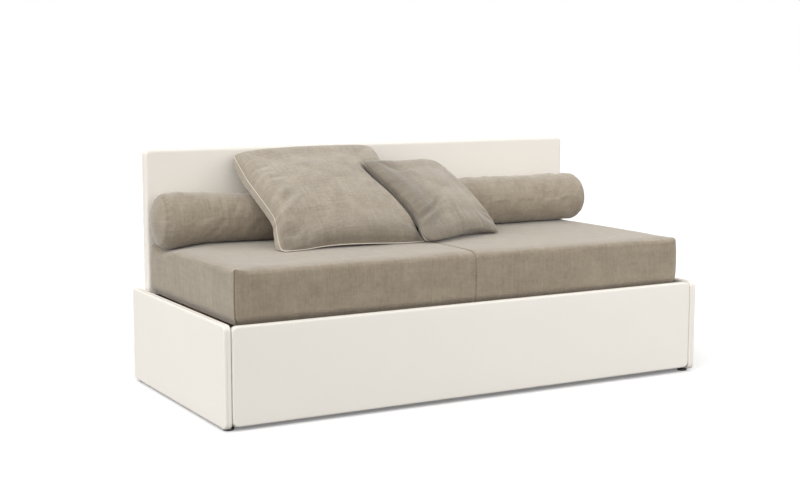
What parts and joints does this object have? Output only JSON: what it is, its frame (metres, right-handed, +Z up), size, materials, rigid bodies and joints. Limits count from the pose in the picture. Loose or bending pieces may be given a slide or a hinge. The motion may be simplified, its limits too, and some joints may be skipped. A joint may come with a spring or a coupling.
{
  "type": "sofa bed",
  "caption": "Upholstered daybed sofa with low end panels, a tall back panel, a thick mattress, round bolsters, scatter cushions and a second bed that pulls out on castors.",
  "frame": {"origin": "on the floor at the centre of the base's footprint", "axes": "+X along the length, the front faces -Y, +Z up"},
  "size_m": [2.08, 0.96, 0.926],
  "materials": {
    "cream_cover": "smooth, matt",
    "panel_board": "raw board",
    "taupe_weave": "slub weave",
    "cushion_weave": "slub weave",
    "ticking": "plain weave",
    "slat_wood": "lacquered",
    "steel_tube": "satin",
    "zinc_steel": "zinc plated",
    "holder_plastic": "matt",
    "black_plastic": "matt"
  },
  "bodies": {
    "base": {"left_end_board": "panel_board", "left_end_cover": "cream_cover", "right_end_board": "panel_board", "right_end_cover": "cream_cover", "backrest_board": "panel_board", "backrest_cover": "cream_cover", "feet": "black_plastic", "bed_front_rail": "steel_tube", "bed_rear_rail": "steel_tube", "bed_left_rail": "steel_tube", "bed_middle_rail": "steel_tube", "bed_right_rail": "steel_tube", "bed_slats": "slat_wood", "bed_slat_holders": "holder_plastic", "frame_brackets": "zinc_steel", "frame_bracket_bolts": "zinc_steel", "corner_angles": "zinc_steel", "corner_angle_bolts": "zinc_steel", "mattress": "taupe_weave"},
    "pull_out_bed": {"front_board": "panel_board", "front_cover": "cream_cover", "trundle_front_rail": "steel_tube", "trundle_rear_rail": "steel_tube", "trundle_left_rail": "steel_tube", "trundle_middle_rail": "steel_tube", "trundle_right_rail": "steel_tube", "trundle_slats": "slat_wood", "trundle_slat_holders": "holder_plastic", "front_brackets": "zinc_steel", "front_bracket_bolts": "zinc_steel", "castor_forks": "steel_tube", "castor_axles": "zinc_steel", "second_mattress": "ticking"},
    "front_left_wheel": {"front_left_wheel": "black_plastic"},
    "front_right_wheel": {"front_right_wheel": "black_plastic"},
    "rear_left_wheel": {"rear_left_wheel": "black_plastic"},
    "rear_right_wheel": {"rear_right_wheel": "black_plastic"},
    "large_cushion": {"large_cushion": "cushion_weave"},
    "small_cushion": {"small_cushion": "cushion_weave"},
    "left_bolster": {"left_bolster": "taupe_weave"},
    "right_bolster": {"right_bolster": "taupe_weave"}
  },
  "joints": [
    {"name": "pull_out", "type": "slide", "parent": "base", "child": "pull_out_bed", "axis": [0, -1, 0], "range_m": [0, 0.86]},
    {"name": "front_left_wheel_roll", "type": "hinge", "parent": "pull_out_bed", "child": "front_left_wheel", "pos_m": [-0.9625, -0.378, 0.03], "axis": [1, 0, 0], "continuous": true},
    {"name": "front_right_wheel_roll", "type": "hinge", "parent": "pull_out_bed", "child": "front_right_wheel", "pos_m": [0.9625, -0.378, 0.03], "axis": [1, 0, 0], "continuous": true},
    {"name": "rear_left_wheel_roll", "type": "hinge", "parent": "pull_out_bed", "child": "rear_left_wheel", "pos_m": [-0.9625, 0.312, 0.03], "axis": [1, 0, 0], "continuous": true},
    {"name": "rear_right_wheel_roll", "type": "hinge", "parent": "pull_out_bed", "child": "rear_right_wheel", "pos_m": [0.9625, 0.312, 0.03], "axis": [1, 0, 0], "continuous": true},
    {"name": "large_cushion_lift", "type": "slide", "parent": "base", "child": "large_cushion", "axis": [0, 0, 1], "range_m": [0, 0.4]},
    {"name": "small_cushion_lift", "type": "slide", "parent": "large_cushion", "child": "small_cushion", "axis": [0, 0, 1], "range_m": [0, 0.4]},
    {"name": "left_bolster_draw", "type": "slide", "parent": "base", "child": "left_bolster", "axis": [-1, 0, 0], "range_m": [0, 1.05]},
    {"name": "right_bolster_draw", "type": "slide", "parent": "base", "child": "right_bolster", "axis": [1, 0, 0], "range_m": [0, 1.05]}
  ],
  "couplings": [
    {"joint": "front_left_wheel_roll", "follows": "pull_out", "rad_per_m": 33.333},
    {"joint": "front_right_wheel_roll", "follows": "pull_out", "rad_per_m": 33.333},
    {"joint": "rear_left_wheel_roll", "follows": "pull_out", "rad_per_m": 33.333},
    {"joint": "rear_right_wheel_roll", "follows": "pull_out", "rad_per_m": 33.333}
  ]
}
